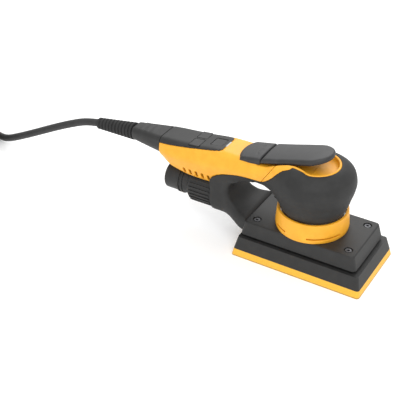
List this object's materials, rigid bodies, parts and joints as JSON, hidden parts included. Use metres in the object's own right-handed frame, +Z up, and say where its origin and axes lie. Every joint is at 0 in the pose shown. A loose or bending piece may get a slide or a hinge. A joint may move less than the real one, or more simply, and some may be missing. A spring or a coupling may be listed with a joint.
{
  "type": "detail mouse sander",
  "caption": "Hand-held mains sander with a rectangular orbiting pad, round motor head, paddle lever, long handle, dust duct with hose connector, and a coiled lead.",
  "frame": {"origin": "where the motor's axis meets the sanding face", "axes": "+X to the nose, handle along -X, +Z up from the sanding face"},
  "size_m": [0.5855, 0.1331, 0.1175],
  "materials": {
    "black_rubber": "soft-touch matt black overmould",
    "black_plastic": "fine-textured satin black moulding",
    "yellow_plastic": "satin warm yellow moulding",
    "yellow_foam": "closed-cell yellow foam",
    "hook_fabric": "woven hook face",
    "lever_plastic": "fine-grained dark grey moulding",
    "button_plastic": "matt rubberised keys",
    "light_pipe": "clear white light bar",
    "steel": "ground bearing steel",
    "dark_steel": "blackened screws",
    "aluminium": "die-cast aluminium",
    "lamination": "laminated electrical steel",
    "copper": "enamelled copper windings",
    "magnet": "nickel-plated magnets",
    "seal_rubber": "soft black seal",
    "circuit": "green fibreglass board",
    "cord_rubber": "matt black rubber sheath",
    "plug_plastic": "moulded black plug",
    "contact_metal": "nickel-plated brass pins",
    "capacitor_sleeve": "dark blue sleeve"
  },
  "bodies": {
    "housing": {"head_housing": "black_rubber", "dust_duct": "black_rubber", "head_top_shell": "yellow_plastic", "handle_shell": "yellow_plastic", "control_panel": "black_plastic", "light_bar": "light_pipe", "lever_rear_cover": "lever_plastic", "collar_ring": "yellow_plastic", "dust_shroud": "black_plastic", "shroud_screws": "dark_steel", "pad_legs": "seal_rubber", "duct_seal": "seal_rubber", "stator_core": "lamination", "stator_windings": "copper", "upper_bracket": "aluminium", "lower_bracket": "aluminium", "upper_bearing_outer_ring": "steel", "lower_bearing_outer_ring": "steel", "lever_pin": "steel", "lever_spring": "steel", "speed_sensor_board": "circuit", "keypad_board": "circuit", "circuit_board": "circuit", "heat_sink": "aluminium", "capacitors": "capacitor_sleeve", "electronics_tray": "black_plastic", "handle_screws": "dark_steel", "rear_cap": "black_plastic", "strain_relief": "seal_rubber", "power_cord": "cord_rubber", "cord_coil": "cord_rubber", "plug_body": "plug_plastic", "plug_pins": "contact_metal", "hose_seal": "seal_rubber"},
    "spindle": {"rotor_shaft": "steel", "rotor_core": "lamination", "rotor_magnets": "magnet", "cooling_fan": "black_plastic", "counterweight": "steel", "upper_bearing_inner_ring": "steel", "lower_bearing_inner_ring": "steel", "pad_bearing_inner_ring": "steel"},
    "upper_cage": {"upper_bearing_balls": "steel"},
    "lower_cage": {"lower_bearing_balls": "steel"},
    "pad_cage": {"pad_bearing_balls": "steel"},
    "pad": {"pad_bearing_outer_ring": "steel", "pad_hub": "aluminium", "hub_screws": "dark_steel", "pad_plate": "black_plastic", "pad_foam": "yellow_foam", "hook_face": "hook_fabric"},
    "lever": {"lever": "lever_plastic", "lever_magnet": "magnet"},
    "power_button": {"power_button": "button_plastic"},
    "plus_button": {"plus_button": "button_plastic"},
    "minus_button": {"minus_button": "button_plastic"},
    "hose_connector": {"hose_connector": "black_plastic"},
    "lock_ring": {"lock_ring": "black_plastic"}
  },
  "joints": [
    {"name": "spindle_spin", "type": "hinge", "parent": "housing", "child": "spindle", "pos_m": [0, 0, 0.06], "axis": [0, 0, 1], "continuous": true},
    {"name": "upper_cage_spin", "type": "hinge", "parent": "housing", "child": "upper_cage", "pos_m": [0, 0, 0.0917], "axis": [0, 0, 1], "continuous": true},
    {"name": "lower_cage_spin", "type": "hinge", "parent": "housing", "child": "lower_cage", "pos_m": [0, 0, 0.0525], "axis": [0, 0, 1], "continuous": true},
    {"name": "pad_orbit", "type": "hinge", "parent": "spindle", "child": "pad", "pos_m": [0.0015, 0, 0.029], "axis": [0, 0, 1], "continuous": true, "deforming": ["pad_legs"]},
    {"name": "pad_cage_spin", "type": "hinge", "parent": "spindle", "child": "pad_cage", "pos_m": [0.0015, 0, 0.0292], "axis": [0, 0, 1], "continuous": true},
    {"name": "lever_press", "type": "hinge", "parent": "housing", "child": "lever", "pos_m": [-0.054, 0, 0.0964], "axis": [0, 1, 0], "range_deg": [0, 8], "stiffness_Nm_per_rad": 1.5, "springref_deg": -3.44, "deforming": ["lever_spring"]},
    {"name": "power_press", "type": "slide", "parent": "housing", "child": "power_button", "axis": [0.0995, 0, -0.995], "range_m": [0, 0.0008], "stiffness_N_per_m": 400, "springref_m": -0.0005},
    {"name": "plus_press", "type": "slide", "parent": "housing", "child": "plus_button", "axis": [0.0995, 0, -0.995], "range_m": [0, 0.0008], "stiffness_N_per_m": 400, "springref_m": -0.0005},
    {"name": "minus_press", "type": "slide", "parent": "housing", "child": "minus_button", "axis": [0.0995, 0, -0.995], "range_m": [0, 0.0008], "stiffness_N_per_m": 400, "springref_m": -0.0005},
    {"name": "hose_swivel", "type": "hinge", "parent": "housing", "child": "hose_connector", "pos_m": [-0.12, 0, 0.0405], "axis": [1, 0, 0], "continuous": true},
    {"name": "lock_ring_turn", "type": "hinge", "parent": "housing", "child": "lock_ring", "pos_m": [-0.115, 0, 0.0405], "axis": [1, 0, 0], "range_deg": [0, 30]}
  ],
  "couplings": [
    {"joint": "upper_cage_spin", "follows": "spindle_spin", "ratio": 0.3593},
    {"joint": "lower_cage_spin", "follows": "spindle_spin", "ratio": 0.3944},
    {"joint": "pad_orbit", "follows": "spindle_spin", "ratio": -1},
    {"joint": "pad_cage_spin", "follows": "spindle_spin", "ratio": -0.6267}
  ]
}
